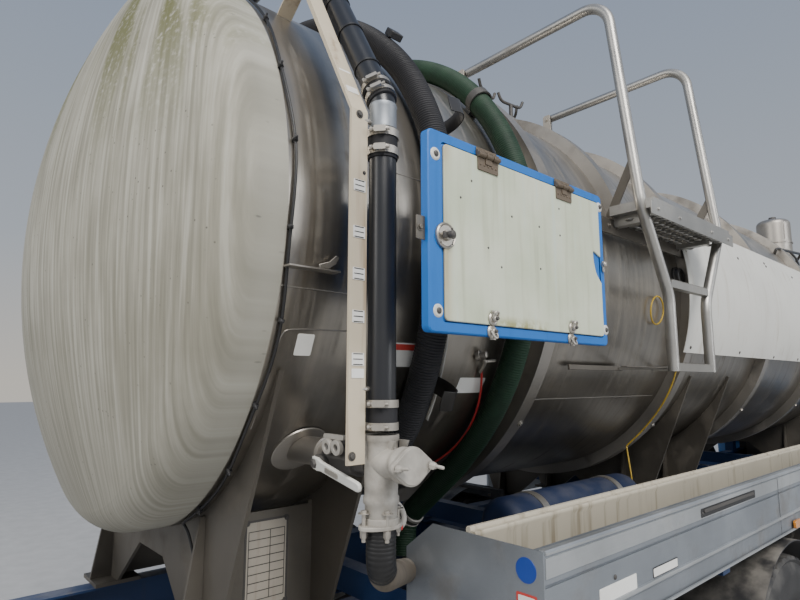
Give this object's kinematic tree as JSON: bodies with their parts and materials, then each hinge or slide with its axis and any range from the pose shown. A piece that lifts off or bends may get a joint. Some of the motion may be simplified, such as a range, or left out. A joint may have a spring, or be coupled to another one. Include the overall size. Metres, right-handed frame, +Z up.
{
  "type": "vacuum tanker truck",
  "caption": "Three-axle rigid truck with a dished cylindrical vacuum tank, side hose trays, ladder, gauge board, valve and a tilting cab.",
  "frame": {"origin": "on the ground under the middle of the whole truck", "axes": "+X to the front, +Y to the left, +Z up"},
  "size_m": [8.9, 2.8, 3.4674],
  "materials": {
    "stainless": "rolled stainless, weathered",
    "chassis_blue": "dark blue paint",
    "black_paint": "satin black paint",
    "aluminium": "extruded, weathered",
    "cast": "sand cast",
    "cabinet_blue": "gloss blue",
    "cabinet_cream": "pale cream green, chalky",
    "panel_white": "white, dusty",
    "board_cream": "cream, grubby",
    "rubber_black": "ribbed black hose",
    "rubber_green": "ribbed green hose",
    "pipe_black": "black sight pipe",
    "tyre": "tyre",
    "rim_white": "silver paint",
    "cab_paint": "gloss blue",
    "trim_black": "grained black plastic",
    "glass": "clear",
    "lamp": "lamp lens",
    "mirror_black": "mirror housing",
    "seat": "woven seat fabric",
    "iron": "oily iron"
  },
  "bodies": {
    "chassis": {"air_receiver": "chassis_blue", "battery_box": "trim_black", "black_hose": "rubber_black", "cab_steps": "trim_black", "cabinet_body": "cabinet_blue", "chassis_rails": "chassis_blue", "cross_members": "chassis_blue", "engine_block": "iron", "float_pot": "stainless", "front_axle": "iron", "front_bumper": "cab_paint", "fuel_tank": "aluminium", "gauge_board": "board_cream", "green_hose": "rubber_green", "hose_clips": "cast", "hose_tray_left": "aluminium", "hose_tray_right": "aluminium", "ladder": "stainless", "lamps": "lamp", "leaf_springs": "iron", "manhole_neck": "stainless", "mudguards": "trim_black", "rear_axles": "iron", "rear_bumper": "black_paint", "side_guards": "aluminium", "side_panels": "panel_white", "sight_pipe": "pipe_black", "tank_rings": "stainless", "tank_saddles": "stainless", "tank_shell": "stainless", "tow_jaw": "chassis_blue", "tray_arms": "chassis_blue", "vacuum_pump": "chassis_blue", "valve_set": "cast"},
    "cab": {"cab_front": "cab_paint", "cab_glass": "glass", "cab_shell": "cab_paint", "dashboard": "trim_black", "mirrors": "mirror_black", "seats": "seat"},
    "cabinet_door": {"cabinet_door": "cabinet_cream"},
    "cab_door_left": {"door_glass_left": "glass", "door_left": "cab_paint"},
    "cab_door_right": {"door_glass_right": "glass", "door_right": "cab_paint"},
    "front_wheel_left": {"front_rim_left": "rim_white", "front_tyre_left": "tyre"},
    "front_wheel_right": {"front_rim_right": "rim_white", "front_tyre_right": "tyre"},
    "steer_left": {"knuckle_left": "iron"},
    "steer_right": {"knuckle_right": "iron"},
    "man_lid": {"man_lid": "stainless"},
    "rear_wheels_aft_left": {"rear_rims_aft_left": "rim_white", "rear_tyres_aft_left": "tyre"},
    "rear_wheels_aft_right": {"rear_rims_aft_right": "rim_white", "rear_tyres_aft_right": "tyre"},
    "rear_wheels_fore_left": {"rear_rims_fore_left": "rim_white", "rear_tyres_fore_left": "tyre"},
    "rear_wheels_fore_right": {"rear_rims_fore_right": "rim_white", "rear_tyres_fore_right": "tyre"}
  },
  "joints": [
    {"name": "steer_left_turn", "type": "hinge", "parent": "chassis", "child": "steer_left", "pos_m": [3.08, 0.93, 0.505], "axis": [0, 0, 1], "range_deg": [-35, 35]},
    {"name": "steer_right_turn", "type": "hinge", "parent": "chassis", "child": "steer_right", "pos_m": [3.08, -0.93, 0.505], "axis": [0, 0, 1], "range_deg": [-35, 35]},
    {"name": "front_wheel_left_spin", "type": "hinge", "parent": "steer_left", "child": "front_wheel_left", "pos_m": [3.08, 1.06, 0.505], "axis": [0, 1, 0], "continuous": true},
    {"name": "front_wheel_right_spin", "type": "hinge", "parent": "steer_right", "child": "front_wheel_right", "pos_m": [3.08, -1.06, 0.505], "axis": [0, 1, 0], "continuous": true},
    {"name": "rear_wheels_fore_left_spin", "type": "hinge", "parent": "chassis", "child": "rear_wheels_fore_left", "pos_m": [-1.5, 0.9325, 0.505], "axis": [0, 1, 0], "continuous": true},
    {"name": "rear_wheels_fore_right_spin", "type": "hinge", "parent": "chassis", "child": "rear_wheels_fore_right", "pos_m": [-1.5, -0.9325, 0.505], "axis": [0, 1, 0], "continuous": true},
    {"name": "rear_wheels_aft_left_spin", "type": "hinge", "parent": "chassis", "child": "rear_wheels_aft_left", "pos_m": [-2.87, 0.9325, 0.505], "axis": [0, 1, 0], "continuous": true},
    {"name": "rear_wheels_aft_right_spin", "type": "hinge", "parent": "chassis", "child": "rear_wheels_aft_right", "pos_m": [-2.87, -0.9325, 0.505], "axis": [0, 1, 0], "continuous": true},
    {"name": "cab_tilt", "type": "hinge", "parent": "chassis", "child": "cab", "pos_m": [4.18, 0, 0.86], "axis": [0, 1, 0], "range_deg": [0, 50]},
    {"name": "cab_door_left_open", "type": "hinge", "parent": "cab", "child": "cab_door_left", "pos_m": [4.197, 1.166, 1.13], "axis": [0, 0, -1], "range_deg": [0, 75]},
    {"name": "cab_door_right_open", "type": "hinge", "parent": "cab", "child": "cab_door_right", "pos_m": [4.197, -1.166, 1.13], "axis": [0, 0, 1], "range_deg": [0, 75]},
    {"name": "cabinet_door_lift", "type": "hinge", "parent": "chassis", "child": "cabinet_door", "pos_m": [-3.381, -1.237, 2.355], "axis": [-1, 0, 0], "range_deg": [0, 110]},
    {"name": "man_lid_open", "type": "hinge", "parent": "chassis", "child": "man_lid", "pos_m": [-2.17, 0.3, 3.253], "axis": [-1, 0, 0], "range_deg": [0, 110]}
  ],
  "couplings": [
    {"joint": "steer_right_turn", "follows": "steer_left_turn", "ratio": 1}
  ]
}
